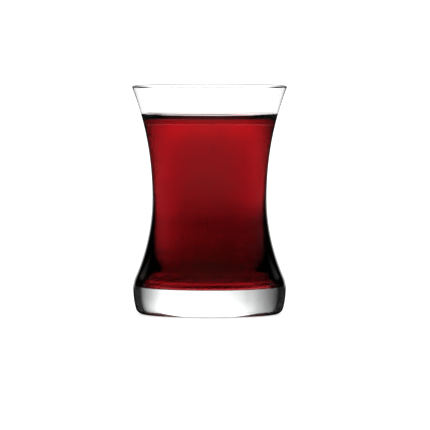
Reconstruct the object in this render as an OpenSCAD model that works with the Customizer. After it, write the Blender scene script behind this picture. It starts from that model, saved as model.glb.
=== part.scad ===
// Waisted tea glass with a heavy clear foot, filled with tea.
// Millimetres, +Z up, origin at the middle of the foot's flat underside.
// Glass and tea are bodies of revolution, and their outlines are chains of tangent arcs.

/* [Glass outside] */
// Height of the glass
glass_h = 85.5; // [70:0.5:110]
// Outside diameter of the rim
rim_d = 58; // [47:0.5:72]
// Outside diameter at the waist
waist_d = 42.8; // [35:0.2:52]
// Height of the waist above the underside
waist_h = 44.2; // [36:0.2:54]
// Outside diameter of the foot's widest ring
foot_d = 57.2; // [47:0.2:70]
// Height of the foot's widest ring
foot_ring_h = 9.8; // [8:0.1:13]
// Radius that turns the widest ring into the hollow side
shoulder_r = 11; // [4:0.5:16]
// Radius of the bulging side below the widest ring
foot_side_r = 30; // [14:1:80]
// Radius of the rounded edge under the foot
foot_edge_r = 3; // [1:0.25:5]

/* [Glass wall] */
// Wall thickness at the rim, which ends in a half round
rim_wall = 0.9; // [0.6:0.1:2.2]
// Wall thickness at the waist
waist_wall = 2; // [1.2:0.1:3.2]
// Thickness of the glass under the tea
floor_t = 9.9; // [6:0.1:14]
// How much wider in radius the hollow is just above its floor than at the waist
well_spread = 3.8; // [1.6:0.1:5]
// Radius of the hollow's bottom corner
well_corner_r = 2; // [1.5:0.25:5]

/* [Tea] */
// Distance from the rim down to the level of the tea
fill_gap = 12.3; // [6:0.1:26]
// How far the tea climbs where it wets the wall
meniscus_h = 1.8; // [0.5:0.1:3]
// Distance from the wall in which that climb falls to about a third
meniscus_w = 1.8; // [1:0.1:3]
// Clearance between the tea and the glass
tea_gap = 0.03; // [0.03:0.01:0.2]

/* [Fineness] */
// Furthest that a facet lies from its arc
facet_dev = 0.02; // [0.01:0.01:0.03]

/* [Hidden] */
$fn = 180;

rim_r = rim_d / 2;
waist_r = waist_d / 2;
foot_r = foot_d / 2;
lip_r = rim_wall / 2;
lip_c = [rim_r - lip_r, glass_h - lip_r];

// Outside arcs: the flare runs from the lip down to the waist, the skirt from the waist to the shoulder
flare_r = flare_radius(lip_c, waist_r, lip_r);
flare_c = [waist_r + flare_r, waist_h];
shoulder_c = [foot_r - shoulder_r, foot_ring_h];
skirt_r = skirt_radius(shoulder_c, shoulder_r, waist_r);
skirt_c = [waist_r + skirt_r, waist_h];
side_c = [foot_r - foot_side_r, foot_ring_h];
edge_c = [side_c.x + edge_reach(foot_side_r - foot_edge_r, foot_ring_h - foot_edge_r), foot_edge_r];

// Inside arcs: they follow the same scheme round the hollow
hollow_r = waist_r - waist_wall;
well_c = [hollow_r + well_spread - well_corner_r, floor_t + well_corner_r];
inner_flare_r = flare_radius(lip_c, hollow_r, -lip_r);
inner_flare_c = [hollow_r + inner_flare_r, waist_h];
inner_skirt_r = skirt_radius(well_c, well_corner_r, hollow_r);
inner_skirt_c = [hollow_r + inner_skirt_r, waist_h];

tea_h = glass_h - fill_gap;
contact_h = tea_h + meniscus_h;
meniscus_steps = 8;
meniscus_spans = 5;

// Radius of the arc that is upright at the waist and touches the lip's circle.
// offset is the lip's radius where the arc passes outside the lip, and minus it where it passes inside.
function flare_radius(lip, waist, offset) =
    let (dx = waist - lip.x, dz = lip.y - waist_h)
    (dx * dx + dz * dz - offset * offset) / (2 * (offset - dx));

// Radius of the arc that is upright at the waist and runs on smoothly into a round of radius r at c
function skirt_radius(c, r, waist) =
    let (dx = c.x + r - waist, dz = waist_h - c.y)
    (dx * dx + dz * dz) / (2 * dx) - r;

// Sideways distance from the centre of the foot's side arc to the centre of its edge round
function edge_reach(r, dz) = sqrt(r * r - dz * dz);

// Angle of the direction from one point to another
function heading(from, to) = atan2(to.y - from.y, to.x - from.x);

// Points along an arc round c, from angle a0 to angle a1, without the first one
function arc(c, r, a0, a1) =
    let (n = max(2, ceil(abs(a1 - a0) * PI / 180 * r / sqrt(8 * r * facet_dev))))
    [for (i = [1 : n])
        let (a = a0 + (a1 - a0) * i / n)
        c + r * [cos(a), sin(a)]];

// Outline of the outside, from the middle of the underside up to the lip
function outside() = concat(
    [[0, 0], [edge_c.x, 0]],
    arc(edge_c, foot_edge_r, -90, heading(side_c, edge_c)),
    arc(side_c, foot_side_r, heading(side_c, edge_c), 0),
    arc(shoulder_c, shoulder_r, 0, heading(shoulder_c, skirt_c)),
    arc(skirt_c, skirt_r, heading(skirt_c, shoulder_c) + 360, 180),
    arc(flare_c, flare_r, 180, heading(flare_c, lip_c))
);

// Outline of the hollow from the middle of its floor up to the lip, drawn in by a clearance
function hollow(gap = 0) = concat(
    [[0, floor_t + gap], [well_c.x, floor_t + gap]],
    arc(well_c, well_corner_r - gap, -90, heading(well_c, inner_skirt_c)),
    arc(inner_skirt_c, inner_skirt_r + gap, heading(inner_skirt_c, well_c) + 360, 180),
    arc(inner_flare_c, inner_flare_r + gap, 180, heading(inner_flare_c, lip_c))
);

// Half round that closes the rim, from the outside over the top to the inside
function lip() = arc(lip_c, lip_r, heading(lip_c, flare_c), heading(inner_flare_c, lip_c));

// Radius of the hollow at a height between its corner and the lip, drawn in by a clearance
function hollow_radius(z, gap) =
    let (c = z > waist_h ? inner_flare_c : inner_skirt_c)
    let (r = z > waist_h ? inner_flare_r : inner_skirt_r)
    c.x - edge_reach(r + gap, z - waist_h);

// Top of the tea: it climbs the wall on an exponential curve and is level further in
function tea_top(wall_r) = concat(
    [for (i = [0 : meniscus_steps])
        let (d = meniscus_spans * meniscus_w * pow(i / meniscus_steps, 2))
        [wall_r - d, tea_h + meniscus_h * exp(-d / meniscus_w)]],
    [[0, tea_h + meniscus_h * exp(-meniscus_spans)]]
);

function reversed(points) = [for (i = [len(points) - 1 : -1 : 0]) points[i]];

// Everything but the last point
function but_last(points) = [for (i = [0 : len(points) - 2]) points[i]];

// Clear glass: foot, skirt, waist, flare and lip in one piece
module glass() {
    color([0.86, 0.89, 0.89, 0.4])
    rotate_extrude()
    polygon(concat(outside(), lip(), reversed(but_last(hollow()))));
}

// Tea, from the floor of the hollow up to its climbing edge
module tea() {
    wetted = [for (p = hollow(tea_gap)) if (p.y < contact_h - facet_dev) p];
    color([0.47, 0.02, 0.07])
    rotate_extrude()
    polygon(concat(wetted, tea_top(hollow_radius(contact_h, tea_gap))));
}

glass();
tea();
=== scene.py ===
"""Looks of a waisted tea glass filled with dark red tea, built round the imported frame.

Metres, +Z up. The glass and the tea are lathed from the same chains of tangent arcs as the CAD nodes that
they replace, finely enough for light to bend through them without facets.
"""

import math

import bmesh
import bpy
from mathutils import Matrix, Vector


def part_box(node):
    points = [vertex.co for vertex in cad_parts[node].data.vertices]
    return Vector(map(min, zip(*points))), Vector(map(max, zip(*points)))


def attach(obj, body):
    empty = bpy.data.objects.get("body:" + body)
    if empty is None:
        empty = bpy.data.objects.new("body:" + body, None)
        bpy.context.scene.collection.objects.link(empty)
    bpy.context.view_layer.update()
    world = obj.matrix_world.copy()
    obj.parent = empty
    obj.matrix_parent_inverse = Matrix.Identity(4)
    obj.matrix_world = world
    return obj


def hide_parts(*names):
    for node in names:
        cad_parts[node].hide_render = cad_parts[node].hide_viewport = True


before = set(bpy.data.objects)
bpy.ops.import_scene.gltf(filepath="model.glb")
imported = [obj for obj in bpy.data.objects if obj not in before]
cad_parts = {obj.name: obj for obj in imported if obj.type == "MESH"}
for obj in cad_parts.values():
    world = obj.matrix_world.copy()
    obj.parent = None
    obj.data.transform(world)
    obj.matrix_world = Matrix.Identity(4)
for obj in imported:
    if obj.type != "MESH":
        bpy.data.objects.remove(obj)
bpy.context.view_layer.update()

MM = 0.001

# ---------------------------------------------------------------- sizes

# The frame gives the outer sizes
GLASS_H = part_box("glass")[1].z
RIM_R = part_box("glass")[1].x
CONTACT_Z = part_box("tea")[1].z
TEA_GAP = 0.03 * MM
FLOOR_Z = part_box("tea")[0].z - TEA_GAP

# The sizes between them repeat those of the CAD source
WAIST_R = 21.4 * MM
WAIST_Z = 44.2 * MM
FOOT_R = 28.6 * MM
FOOT_RING_Z = 9.8 * MM
SHOULDER_R = 11 * MM
FOOT_SIDE_R = 30 * MM
FOOT_EDGE_R = 3 * MM
LIP_R = 0.45 * MM
WAIST_WALL = 2 * MM
WELL_SPREAD = 3.8 * MM
WELL_CORNER_R = 2 * MM
MENISCUS_H = 1.8 * MM
MENISCUS_W = 1.8 * MM

TEA_Z = CONTACT_Z - MENISCUS_H
# How far the tea's piece reaches into the wall, so that no film of air is left
TEA_REACH = 0.1 * MM

# ---------------------------------------------------------------- outlines

# An outline is a list of (radius, height) points.
# On an arc they are no further apart than this, in metres and in radians.
ARC_CHORD = 0.6 * MM
ARC_TURN = 0.12


def arc(centre, radius, start, end):
    """Points along an arc, from one angle to another, without the first one."""
    turn = abs(end - start)
    count = max(4, math.ceil(turn * radius / ARC_CHORD), math.ceil(turn / ARC_TURN))
    angles = [start + (end - start) * i / count for i in range(1, count + 1)]
    return [(centre[0] + radius * math.cos(a), centre[1] + radius * math.sin(a)) for a in angles]


def heading(start, end):
    """Angle of the direction from one point to another."""
    return math.atan2(end[1] - start[1], end[0] - start[0])


def flare_radius(lip, waist, offset):
    """Radius of the arc that is upright at the waist and passes the lip's centre at offset."""
    dx, dz = waist - lip[0], lip[1] - WAIST_Z
    return (dx * dx + dz * dz - offset * offset) / (2 * (offset - dx))


def skirt_radius(centre, radius, waist):
    """Radius of the arc that is upright at the waist and runs on smoothly into a round."""
    dx, dz = centre[0] + radius - waist, WAIST_Z - centre[1]
    return (dx * dx + dz * dz) / (2 * dx) - radius


lip_c = (RIM_R - LIP_R, GLASS_H - LIP_R)
flare_r = flare_radius(lip_c, WAIST_R, LIP_R)
flare_c = (WAIST_R + flare_r, WAIST_Z)
shoulder_c = (FOOT_R - SHOULDER_R, FOOT_RING_Z)
skirt_r = skirt_radius(shoulder_c, SHOULDER_R, WAIST_R)
skirt_c = (WAIST_R + skirt_r, WAIST_Z)
side_c = (FOOT_R - FOOT_SIDE_R, FOOT_RING_Z)
edge_reach = math.sqrt((FOOT_SIDE_R - FOOT_EDGE_R) ** 2 - (FOOT_RING_Z - FOOT_EDGE_R) ** 2)
edge_c = (side_c[0] + edge_reach, FOOT_EDGE_R)

hollow_r = WAIST_R - WAIST_WALL
well_c = (hollow_r + WELL_SPREAD - WELL_CORNER_R, FLOOR_Z + WELL_CORNER_R)
inner_flare_r = flare_radius(lip_c, hollow_r, -LIP_R)
inner_flare_c = (hollow_r + inner_flare_r, WAIST_Z)
inner_skirt_r = skirt_radius(well_c, WELL_CORNER_R, hollow_r)
inner_skirt_c = (hollow_r + inner_skirt_r, WAIST_Z)


def outside():
    """Outline of the outside, from the middle of the underside up to the lip."""
    quarter = math.pi / 2
    to_edge = heading(side_c, edge_c)
    return (
        [(0.0, 0.0), (edge_c[0] * 0.5, 0.0), (edge_c[0], 0.0)]
        + arc(edge_c, FOOT_EDGE_R, -quarter, to_edge)
        + arc(side_c, FOOT_SIDE_R, to_edge, 0.0)
        + arc(shoulder_c, SHOULDER_R, 0.0, heading(shoulder_c, skirt_c))
        + arc(skirt_c, skirt_r, heading(skirt_c, shoulder_c) + 2 * math.pi, math.pi)
        + arc(flare_c, flare_r, math.pi, heading(flare_c, lip_c))
    )


def lip():
    """Half round over the rim, from the outside to the inside."""
    return arc(lip_c, LIP_R, heading(lip_c, flare_c), heading(inner_flare_c, lip_c))


def hollow(reach=0.0):
    """Outline of the hollow from the middle of its floor up to the lip, let out by reach."""
    quarter = math.pi / 2
    return (
        [(0.0, FLOOR_Z - reach), (well_c[0] * 0.5, FLOOR_Z - reach), (well_c[0], FLOOR_Z - reach)]
        + arc(well_c, WELL_CORNER_R + reach, -quarter, heading(well_c, inner_skirt_c))
        + arc(inner_skirt_c, inner_skirt_r - reach, heading(inner_skirt_c, well_c) + 2 * math.pi, math.pi)
        + arc(inner_flare_c, inner_flare_r - reach, math.pi, heading(inner_flare_c, lip_c))
    )


def wall_radius(z, reach=0.0):
    """Radius of the hollow at a height above the waist, let out by reach."""
    return inner_flare_c[0] - math.sqrt((inner_flare_r - reach) ** 2 - (z - WAIST_Z) ** 2)


def tea_outline():
    """Wetted wall, let out into the glass, and the top that climbs it on an exponential curve."""
    steps, spans = 28, 6
    wall_r = wall_radius(CONTACT_Z)
    # The last point of the wall lies at the contact height itself, with none crowded just below it
    clear_below = 0.1 * MM
    wall = [p for p in hollow(TEA_REACH) if p[1] < CONTACT_Z - clear_below]
    wall.append((wall_radius(CONTACT_Z, TEA_REACH), CONTACT_Z))
    top = []
    for i in range(steps + 1):
        inward = spans * MENISCUS_W * (i / steps) ** 2
        top.append((wall_r - inward, TEA_Z + MENISCUS_H * math.exp(-inward / MENISCUS_W)))
    level = TEA_Z + MENISCUS_H * math.exp(-spans)
    return wall, top + [(wall_r * 0.4, level), (0.0, level)]


# ---------------------------------------------------------------- meshes

SEGMENTS = 288
SHARP_ANGLE = math.radians(40)


def new_object(name, mesh):
    """Object in the scene that shows a mesh."""
    thing = bpy.data.objects.new(name, mesh)
    bpy.context.scene.collection.objects.link(thing)
    return thing


def lathe(name, stretches):
    """Closed body of revolution round Z from stretches of outline, each (material, points), axis to axis."""
    bm = bmesh.new()
    turns = [2 * math.pi * i / SEGMENTS for i in range(SEGMENTS)]
    materials = []
    last_ring = None
    for material, points in stretches:
        if material not in materials:
            materials.append(material)
        for r, z in points:
            if r < 1e-9:
                ring = [bm.verts.new((0.0, 0.0, z))] * SEGMENTS
            else:
                ring = [bm.verts.new((r * math.cos(a), r * math.sin(a), z)) for a in turns]
            for i in range(SEGMENTS if last_ring else 0):
                j = (i + 1) % SEGMENTS
                # At the axis two corners are the same point, and the face is a triangle
                corners = dict.fromkeys((last_ring[i], last_ring[j], ring[j], ring[i]))
                face = bm.faces.new(tuple(corners))
                face.smooth = True
                face.material_index = materials.index(material)
            last_ring = ring
    bmesh.ops.recalc_face_normals(bm, faces=bm.faces)
    mesh = bpy.data.meshes.new(name)
    bm.to_mesh(mesh)
    bm.free()
    mesh.set_sharp_from_angle(angle=SHARP_ANGLE)
    for material in materials:
        mesh.materials.append(material)
    return new_object(name, mesh)


# ---------------------------------------------------------------- node helpers


def fresh_tree(owner):
    """Empty node tree of a material or world."""
    owner.use_nodes = True
    owner.node_tree.nodes.clear()
    return owner.node_tree


def add(tree, kind, inputs=None, **settings):
    """New node with its settings, and its inputs set or linked: a socket links, a value is set."""
    node = tree.nodes.new(kind)
    for key, value in settings.items():
        setattr(node, key, value)
    for key, value in (inputs or {}).items():
        if isinstance(value, bpy.types.NodeSocket):
            tree.links.new(value, node.inputs[key])
        else:
            node.inputs[key].default_value = value
    return node


def ramp(tree, factor, stops):
    """Colour ramp with grey stops, each (position, value)."""
    node = add(tree, "ShaderNodeValToRGB", {"Fac": factor})
    elements = node.color_ramp.elements
    while len(elements) > 1:
        elements.remove(elements[-1])
    for index, (position, value) in enumerate(stops):
        element = elements[0] if index == 0 else elements.new(position)
        element.position = position
        element.color = (value, value, value, 1.0)
    return node.outputs["Color"]


def math_node(tree, operation, *values):
    """Result of a Math node on sockets or numbers."""
    node = add(tree, "ShaderNodeMath", operation=operation)
    for index, value in enumerate(values):
        if isinstance(value, bpy.types.NodeSocket):
            tree.links.new(value, node.inputs[index])
        else:
            node.inputs[index].default_value = value
    return node.outputs[0]


def mix(tree, factor, first, second, blend="MIX"):
    """Colour that goes from the first to the second, or to their blend, as the factor goes from 0 to 1."""
    node = add(tree, "ShaderNodeMix", {0: factor, 6: first, 7: second}, data_type="RGBA", blend_type=blend)
    return node.outputs[2]


def multiply(tree, first, second):
    """Product of two colours."""
    return mix(tree, 1.0, first, second, "MULTIPLY")


def plus(tree, first, second):
    """Sum of two colours."""
    return mix(tree, 1.0, first, second, "ADD")


# ---------------------------------------------------------------- materials

WHITE = (1.0, 1.0, 1.0, 1.0)
HALF_GREY = (0.5, 0.5, 0.5, 1.0)
BLACK = (0.0, 0.0, 0.0, 1.0)
GLASS_IOR = 1.5
TEA_IOR = 1.333
# Glass with air on both sides is given less bending than real glass has, which keeps its lines thin
DRY_IOR = 1.2
LIP_IOR = 1.1


def object_height(tree):
    """Height above the underside, in metres."""
    place = add(tree, "ShaderNodeTexCoord").outputs["Object"]
    return add(tree, "ShaderNodeSeparateXYZ", {"Vector": place}).outputs["Z"]


def height_ramp(tree, stops):
    """Grey ramp over the object's height, with stops (height in mm, value)."""
    low, high = stops[0][0], stops[-1][0]
    share = add(tree, "ShaderNodeMapRange", {
        "Value": object_height(tree), "From Min": low * MM, "From Max": high * MM}).outputs[0]
    return ramp(tree, share, [((z - low) / (high - low), value) for z, value in stops])


def facing(tree):
    """How far the surface turns away: 0 head on, 1 at the silhouette."""
    return add(tree, "ShaderNodeLayerWeight", {"Blend": 0.5}).outputs["Facing"]


def round_facing(tree):
    """How far round the upright axis the surface turns away, whatever its slope."""
    place = add(tree, "ShaderNodeTexCoord").outputs["Object"]
    parts = add(tree, "ShaderNodeSeparateXYZ", {"Vector": place})
    flat = add(tree, "ShaderNodeCombineXYZ", {"X": parts.outputs["X"], "Y": parts.outputs["Y"]})
    normal = add(tree, "ShaderNodeVectorMath", {0: flat.outputs[0]}, operation="NORMALIZE")
    return add(tree, "ShaderNodeLayerWeight", {"Blend": 0.5, "Normal": normal.outputs[0]}).outputs["Facing"]


def entering(tree):
    """1 where the line of sight goes into the piece, 0 where it comes out."""
    behind = add(tree, "ShaderNodeNewGeometry").outputs["Backfacing"]
    return math_node(tree, "SUBTRACT", 1.0, behind)


def clear_glass(name, painted_shade_colour=None, tint=WHITE, ior=GLASS_IOR):
    """Colourless soda-lime glass with a faint green in its depth and slight waves in its polish. A given base
    colour paints shade on it.
    """
    material = bpy.data.materials.new(name)
    tree = fresh_tree(material)
    place = add(tree, "ShaderNodeTexCoord").outputs["Object"]
    waves = add(tree, "ShaderNodeTexNoise", {"Vector": place, "Scale": 60.0, "Detail": 1.0})
    bump = add(tree, "ShaderNodeBump", {"Height": waves.outputs[0], "Strength": 0.02, "Distance": 0.0005})
    base = painted_shade_colour(tree) if painted_shade_colour else WHITE
    bending = ior(tree) if callable(ior) else ior
    glass = add(tree, "ShaderNodeBsdfPrincipled", {
        "Base Color": base, "Roughness": 0.0, "IOR": bending, "Transmission Weight": 1.0,
        "Specular Tint": tint, "Normal": bump.outputs[0]})
    depth = add(tree, "ShaderNodeVolumeAbsorption", {"Color": (0.80, 0.88, 0.85, 1.0), "Density": 4.0})
    add(tree, "ShaderNodeOutputMaterial", {"Surface": glass.outputs[0], "Volume": depth.outputs[0]})
    return material


# How far the wall round the tea turns away where its painted dark edge is half deep, by height. The dark edge
# is painted shade.
EDGE_STOPS = [
    (12.0, 0.45), (15.7, 0.40), (17.2, 0.25), (19.5, 0.30), (23.9, 0.44), (31.4, 0.54), (38.9, 0.62),
    (46.4, 0.70), (53.9, 0.66), (61.4, 0.56), (68.9, 0.41), (75.0, 0.32)]
# Clearness of that painted shade across that place, which lies at 0.5: low down the edge is sharp, higher up
# it is soft
SHARP_EDGE = [(0.38, 1.0), (0.42, 0.9), (0.46, 0.65), (0.5, 0.3), (0.53, 0.06), (0.56, 0.005), (0.6, 0.0003)]
SOFT_EDGE = [
    (0.2, 1.0), (0.25, 0.95), (0.33, 0.8), (0.41, 0.58), (0.5, 0.36), (0.6, 0.2), (0.76, 0.08), (0.9, 0.04)]
SOFTER_UP = [(46.0, 0.0), (60.0, 1.0)]
# Clearness of the foot by how far it turns away: painted shade at its edges
FOOT_EDGE = [
    (0.05, 1.0), (0.165, 0.87), (0.202, 0.74), (0.245, 0.54), (0.294, 0.37), (0.35, 0.215), (0.416, 0.122),
    (0.498, 0.047), (0.544, 0.012), (0.58, 0.0004)]
# Painted shade at the silhouette of the wall above the tea
DRY_EDGE = [(0.6, 1.0), (0.8, 0.8), (1.0, 0.5)]
# Painted shade towards the two ends of the rim
LIP_EDGE = [(0.25, 1.0), (0.4, 0.6), (0.6, 0.12), (0.9, 0.02)]
# Painted grey shade of the rim's far side
LIP_PAINTED_GREY = (0.25, 0.25, 0.25, 1.0)


def painted_body_edge_shade(tree):
    """Painted shade: dark edges of the glass round the tea, by how far the surface turns away and by height.
    """
    past = math_node(tree, "SUBTRACT", facing(tree), height_ramp(tree, EDGE_STOPS))
    place = math_node(tree, "ADD", past, 0.5)
    sharp, soft = ramp(tree, place, SHARP_EDGE), ramp(tree, place, SOFT_EDGE)
    return mix(tree, height_ramp(tree, SOFTER_UP), sharp, soft)


def painted_foot_edge_shade(tree):
    """Painted shade: dark edges of the foot's bulging side."""
    return ramp(tree, facing(tree), FOOT_EDGE)


def painted_low_edge_shade(tree):
    """Painted shade: dark edges of the round under the foot, which go by the way round and not by the slope.
    """
    return ramp(tree, round_facing(tree), FOOT_EDGE)


def low_ior(tree):
    """The round under the foot bends light less in the middle than at the sides, so its line is thin."""
    return add(tree, "ShaderNodeMapRange", {
        "Value": round_facing(tree), "From Min": 0.06, "From Max": 0.26,
        "To Min": 1.15, "To Max": GLASS_IOR}).outputs[0]


def painted_lip_outside_shade(tree):
    """Painted shade: the rim is dark towards its two ends."""
    return ramp(tree, round_facing(tree), LIP_EDGE)


def painted_lip_inside_shade(tree):
    """Painted shade: the far side of the rim shows as a thin grey line."""
    return mix(tree, entering(tree), WHITE, LIP_PAINTED_GREY)


def painted_dry_wall_shade(tree):
    """Painted shade: the wall above the tea is a little grey at its silhouette."""
    return ramp(tree, round_facing(tree), DRY_EDGE)


# Painted light and shade on the tea's side by height: dark above the bottom corner, and brighter up to the
# tea's level
TEA_PAINTED_LIGHT_STOPS = [
    (9.9, 0.03), (11.5, 0.045), (14.5, 0.045), (17.2, 0.014), (19.5, 0.02), (22.0, 0.05), (24.0, 0.06),
    (27.7, 0.11), (31.4, 0.24), (38.9, 0.38), (46.4, 0.47), (53.9, 0.54), (57.6, 0.55), (61.4, 0.58),
    (65.1, 0.60), (68.9, 0.71), (70.5, 0.79), (72.5, 0.76), (75.0, 0.76)]
# The same painted light and shade for the low part of the far side, and in its first stop for the floor
FAR_PAINTED_LIGHT_STOPS = [(9.9, 0.2), (10.1, 0.55), (22.0, 0.55), (24.0, 0.50), (27.7, 0.32), (31.4, 0.26)]
# Two painted bright rings of light low on the near side
PAINTED_RING_STOPS = [
    (9.9, 0.0), (10.0, 0.0), (10.1, 0.9), (10.6, 0.9), (10.8, 0.05), (11.5, 0.0), (11.8, 0.4), (12.1, 0.4),
    (12.5, 0.0)]
# Painted light: in the lower half the side is brightest where it turns away a little. Further up this fades
# to one half.
TEA_TURN = [
    (0.0, 0.5), (0.03, 0.55), (0.066, 0.72), (0.1, 0.9), (0.15, 0.96), (0.18, 0.87), (0.22, 0.75), (1.0, 0.7)]
TURN_FADE = [(32.0, 0.0), (39.0, 0.3), (46.0, 0.7), (54.0, 0.85), (61.0, 0.95), (68.0, 1.0)]
# The red is twice as strong as a surface colour, because TEA_TURN halves it
SIDE_RED = (2.0, 0.06, 0.10, 1.0)
LEVEL_RED = (0.6, 0.02, 0.03, 1.0)
DEPTH_RED = (0.891, 0.80, 0.80, 1.0)
# Where the tea is only a thin film that climbs the wall, it is clear
FILM_FADE = [(73.2, 0.0), (73.45, 1.0)]


def red_tea(name, tint, shade_colour):
    """Clear dark red tea."""
    material = bpy.data.materials.new(name)
    tree = fresh_tree(material)
    tea = add(tree, "ShaderNodeBsdfPrincipled", {
        "Base Color": shade_colour(tree), "Roughness": 0.0, "IOR": TEA_IOR, "Transmission Weight": 1.0,
        "Specular Tint": tint})
    depth = add(tree, "ShaderNodeVolumeAbsorption", {"Color": DEPTH_RED, "Density": 220.0})
    add(tree, "ShaderNodeOutputMaterial", {"Surface": tea.outputs[0], "Volume": depth.outputs[0]})
    return material


def clear_film(tree, red):
    """The red, fading to clear where the tea climbs the wall."""
    return mix(tree, height_ramp(tree, FILM_FADE), red, WHITE)


def tea_level(tree):
    """Red of the tea through its top."""
    return clear_film(tree, LEVEL_RED)


def painted_tea_side_light(tree):
    """Red of the tea through its side and floor, with painted light and shade by height, by how far it turns
    away and in two bright rings.
    """
    turned = mix(tree, height_ramp(tree, TURN_FADE), ramp(tree, facing(tree), TEA_TURN), HALF_GREY)
    rings = multiply(tree, height_ramp(tree, PAINTED_RING_STOPS), entering(tree))
    near = plus(tree, height_ramp(tree, TEA_PAINTED_LIGHT_STOPS), rings)
    low = math_node(tree, "LESS_THAN", object_height(tree), FAR_PAINTED_LIGHT_STOPS[-1][0] * MM)
    leaving = math_node(tree, "SUBTRACT", 1.0, entering(tree))
    far = math_node(tree, "MULTIPLY", low, leaving)
    shade = mix(tree, far, near, height_ramp(tree, FAR_PAINTED_LIGHT_STOPS))
    return clear_film(tree, multiply(tree, multiply(tree, shade, SIDE_RED), turned))


# ---------------------------------------------------------------- the object

# The foot's outside has three materials: the flat underside, the round edge and the bulging side
UNDERSIDE_Z = 0.01 * MM
FOOT_LOW_Z = 1.8 * MM
FOOT_TOP_Z = 12 * MM


def between(outline, low, high):
    """The points of an outline that lie between two heights."""
    return [point for point in outline if low <= point[1] < high]


def glass_body():
    """The whole glass, whose materials change along its outline."""
    outer = outside()
    over_rim = lip()
    top = max(range(len(over_rim)), key=lambda i: over_rim[i][1])
    dry_glass = clear_glass("clear_glass", painted_dry_wall_shade, ior=DRY_IOR)
    return lathe("glass_body", [
        (clear_glass("base_glass"), between(outer, -MM, UNDERSIDE_Z)),
        (clear_glass("edge_glass", painted_low_edge_shade, ior=low_ior), between(outer, UNDERSIDE_Z, FOOT_LOW_Z)),
        (clear_glass("foot_glass", painted_foot_edge_shade), between(outer, FOOT_LOW_Z, FOOT_TOP_Z)),
        (clear_glass("body_glass", painted_body_edge_shade), between(outer, FOOT_TOP_Z, CONTACT_Z)),
        (dry_glass, between(outer, CONTACT_Z, GLASS_H)),
        (clear_glass("painted_lip_outside_shade", painted_lip_outside_shade, ior=LIP_IOR), over_rim[:top + 1]),
        (clear_glass("painted_lip_inside_shade", painted_lip_inside_shade, ior=LIP_IOR), over_rim[top + 1:]),
        # The last point of the hollow is also the last one of the lip, so it is left out
        (dry_glass, between(hollow(), CONTACT_Z, GLASS_H)[-2::-1]),
        (clear_glass("wet_glass", tint=BLACK), between(hollow(), 0, CONTACT_Z)[::-1]),
    ])


def tea_fill():
    """The tea, which has one material on its wetted side and one on its top."""
    wall, top = tea_outline()
    return lathe("tea_fill", [
        (red_tea("tea_wall", BLACK, painted_tea_side_light), wall),
        (red_tea("tea_top", WHITE, tea_level), top),
    ])


glass = glass_body()
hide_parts("glass")
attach(glass, "root")

tea = tea_fill()
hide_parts("tea")
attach(tea, "root")

# ---------------------------------------------------------------- floor

FLOOR_DROP = 0.2 * MM
FLOOR_R = 3.0


def white_floor():
    """Pale floor that glows a little, so that it is as white as the backdrop."""
    material = bpy.data.materials.new("studio_floor")
    tree = fresh_tree(material)
    matt = add(tree, "ShaderNodeBsdfDiffuse", {"Color": HALF_GREY})
    glow = add(tree, "ShaderNodeEmission", {"Color": WHITE, "Strength": 0.7})
    both = add(tree, "ShaderNodeAddShader", {0: matt.outputs[0], 1: glow.outputs[0]})
    add(tree, "ShaderNodeOutputMaterial", {"Surface": both.outputs[0]})
    return material


def disc(name, radius, z):
    """Flat round plate."""
    bm = bmesh.new()
    bmesh.ops.create_circle(bm, cap_ends=True, radius=radius, segments=96)
    mesh = bpy.data.meshes.new(name)
    bm.to_mesh(mesh)
    bm.free()
    thing = new_object(name, mesh)
    thing.location.z = z
    return thing


floor = disc("floor", FLOOR_R, -FLOOR_DROP)
floor.data.materials.append(white_floor())
# Through the glass and mirrored in it only the tent shows, and not the floor
floor.visible_transmission = False
floor.visible_glossy = False

# ---------------------------------------------------------------- sheet of painted shade

# It stands behind on the left, and dims what the lower right of the glass bends into view: painted shade,
# seen only through glass and tea
SHADE_Y = 75 * MM
SHADE_LEFT, SHADE_RIGHT = -110.0, 6.0
SHADE_LOW, SHADE_HIGH = -60.0, 45.0
# How much it lets through, by x in mm
SHADE_STOPS = [
    (-110, 1.0), (-85, 0.6), (-60, 0.25), (-40, 0.35), (-26, 0.42), (-21, 0.43), (-17, 0.48), (-13, 0.51),
    (-9.9, 0.63), (-7, 0.71), (-4, 0.78), (0, 0.95), (6, 1.0)]
# How far it fades to clear, by height
SHADE_FADE = [(-60.0, 1.0), (-22.0, 0.0), (16.0, 0.0), (40.0, 1.0)]


def shade_material():
    """Painted shade: grey by place, and no bending."""
    material = bpy.data.materials.new("shade")
    tree = fresh_tree(material)
    place = add(tree, "ShaderNodeTexCoord").outputs["Object"]
    along = add(tree, "ShaderNodeMapRange", {
        "Value": add(tree, "ShaderNodeSeparateXYZ", {"Vector": place}).outputs["X"],
        "From Min": SHADE_LEFT * MM, "From Max": SHADE_RIGHT * MM}).outputs[0]
    width = SHADE_RIGHT - SHADE_LEFT
    grey = ramp(tree, along, [((x - SHADE_LEFT) / width, value) for x, value in SHADE_STOPS])
    tone = mix(tree, height_ramp(tree, SHADE_FADE), grey, WHITE)
    veil = add(tree, "ShaderNodeBsdfRefraction", {"Color": tone, "Roughness": 0.0, "IOR": 1.0})
    add(tree, "ShaderNodeOutputMaterial", {"Surface": veil.outputs[0]})
    return material


def shade_sheet():
    """Upright sheet that fades out towards its edges."""
    bm = bmesh.new()
    corners = [
        (SHADE_LEFT, SHADE_LOW), (SHADE_RIGHT, SHADE_LOW),
        (SHADE_RIGHT, SHADE_HIGH), (SHADE_LEFT, SHADE_HIGH)]
    bm.faces.new([bm.verts.new((x * MM, SHADE_Y, z * MM)) for x, z in corners])
    mesh = bpy.data.meshes.new("shade")
    bm.to_mesh(mesh)
    bm.free()
    mesh.materials.append(shade_material())
    return new_object("shade", mesh)


shade = shade_sheet()
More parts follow.
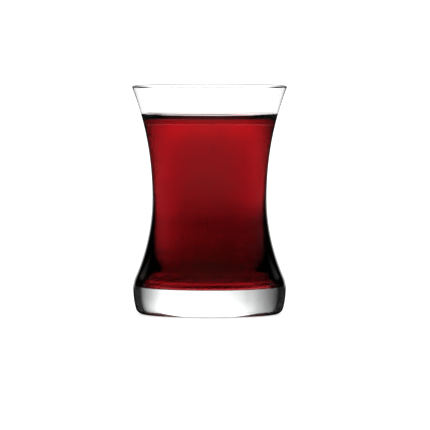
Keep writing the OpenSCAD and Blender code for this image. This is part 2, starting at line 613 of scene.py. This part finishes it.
# Only what is seen through glass or tea meets the sheet
shade.visible_camera = False
shade.visible_diffuse = False
shade.visible_glossy = False
shade.visible_shadow = False

# ---------------------------------------------------------------- surroundings

# Brightness by the rise of a direction in degrees: seen through the glass, and only mirrored in it
THROUGH_STOPS = [
    (-90, 1.0), (-28, 1.1), (-9, 1.25), (0, 1.4), (4, 1.65), (7, 2.1), (10, 2.5), (30, 1.8), (90, 1.2)]
MIRROR_STOPS = [
    (-90, 0.15), (-8, 0.13), (0, 0.07), (10, 0.02), (28, 0.02), (40, 0.08), (58, 0.1), (66, 1.0), (90, 1.0)]
# Two bright bands behind the glass, mirrored in its silhouettes: a narrow low one and a wider higher one
NARROW_STOPS = [(-90, 0.0), (-3, 0.0), (-1, 1.15), (14, 1.15), (18, 0.0), (90, 0.0)]
WIDE_STOPS = [(-90, 0.0), (11, 0.0), (18, 0.5), (36, 0.5), (44, 0.0), (90, 0.0)]
# How much of each there is, from the front of the tent at 0 to its back at 1
NARROW_DEPTH = [(0.0, 0.0), (0.95, 0.0), (0.985, 1.0), (1.0, 1.0)]
WIDE_DEPTH = [(0.0, 0.0), (0.78, 0.0), (0.92, 1.0), (1.0, 1.0)]
MIRROR_DEPTH = [(0.0, 1.0), (0.15, 0.7), (0.4, 0.15), (1.0, 0.1)]
PLAIN_LIGHT = 1.3
# The brightest light: a ramp holds 0 to 1, so each value is divided by this
STRENGTH = 2.6


def rise_share(elevation):
    """Place on a ramp over the upward part of a direction that rises by an angle in degrees."""
    return 0.5 + 0.5 * math.sin(math.radians(elevation))


def studio_world():
    """White tent: it lights the floor, glows through the glass, and is dim where it only mirrors in it."""
    world = bpy.data.worlds.new("studio")
    bpy.context.scene.world = world
    tree = fresh_tree(world)
    direction = add(tree, "ShaderNodeTexCoord").outputs["Generated"]
    parts = add(tree, "ShaderNodeSeparateXYZ", {"Vector": direction})
    rise = math_node(tree, "MULTIPLY_ADD", parts.outputs["Z"], 0.5, 0.5)
    depth = math_node(tree, "MULTIPLY_ADD", parts.outputs["Y"], 0.5, 0.5)
    path = add(tree, "ShaderNodeLightPath")

    def over_rise(stops):
        return ramp(tree, rise, [(rise_share(elevation), value / STRENGTH) for elevation, value in stops])

    narrow = multiply(tree, over_rise(NARROW_STOPS), ramp(tree, depth, NARROW_DEPTH))
    wide = multiply(tree, over_rise(WIDE_STOPS), ramp(tree, depth, WIDE_DEPTH))
    front = multiply(tree, over_rise(MIRROR_STOPS), ramp(tree, depth, MIRROR_DEPTH))
    mirrored = plus(tree, front, plus(tree, narrow, wide))
    plain = (PLAIN_LIGHT / STRENGTH, PLAIN_LIGHT / STRENGTH, PLAIN_LIGHT / STRENGTH, 1.0)
    outside_glass = mix(tree, path.outputs["Is Glossy Ray"], plain, mirrored)
    seen = mix(tree, path.outputs["Is Transmission Ray"], outside_glass, over_rise(THROUGH_STOPS))
    glow = add(tree, "ShaderNodeBackground", {"Color": seen, "Strength": STRENGTH})
    add(tree, "ShaderNodeOutputWorld", {"Surface": glow.outputs[0]})


studio_world()

# ---------------------------------------------------------------- camera

# The frame is this wide at the object, and a long lens keeps its sides parallel
FRAME_WIDTH = 160.9 * MM
CAMERA_DISTANCE = 2.5
CAMERA_ELEVATION = math.radians(2.45)
AIM = Vector((2.05 * MM, 0.0, 37.05 * MM))


def add_camera():
    """Camera in front of the glass, a little above it."""
    camera = bpy.data.cameras.new("camera")
    thing = new_object("camera", camera)
    back = Vector((0.0, -math.cos(CAMERA_ELEVATION), math.sin(CAMERA_ELEVATION)))
    thing.location = AIM + back * CAMERA_DISTANCE
    thing.rotation_mode = "QUATERNION"
    thing.rotation_quaternion = (-back).to_track_quat("-Z", "Y")
    camera.lens = camera.sensor_width * CAMERA_DISTANCE / FRAME_WIDTH
    camera.clip_end = 20.0
    bpy.context.scene.camera = thing


add_camera()

# Light passes many walls of glass and tea before it gets out
scene = bpy.context.scene
scene.view_settings.view_transform = "Standard"
scene.cycles.max_bounces = 24
scene.cycles.transmission_bounces = 24
scene.cycles.glossy_bounces = 16
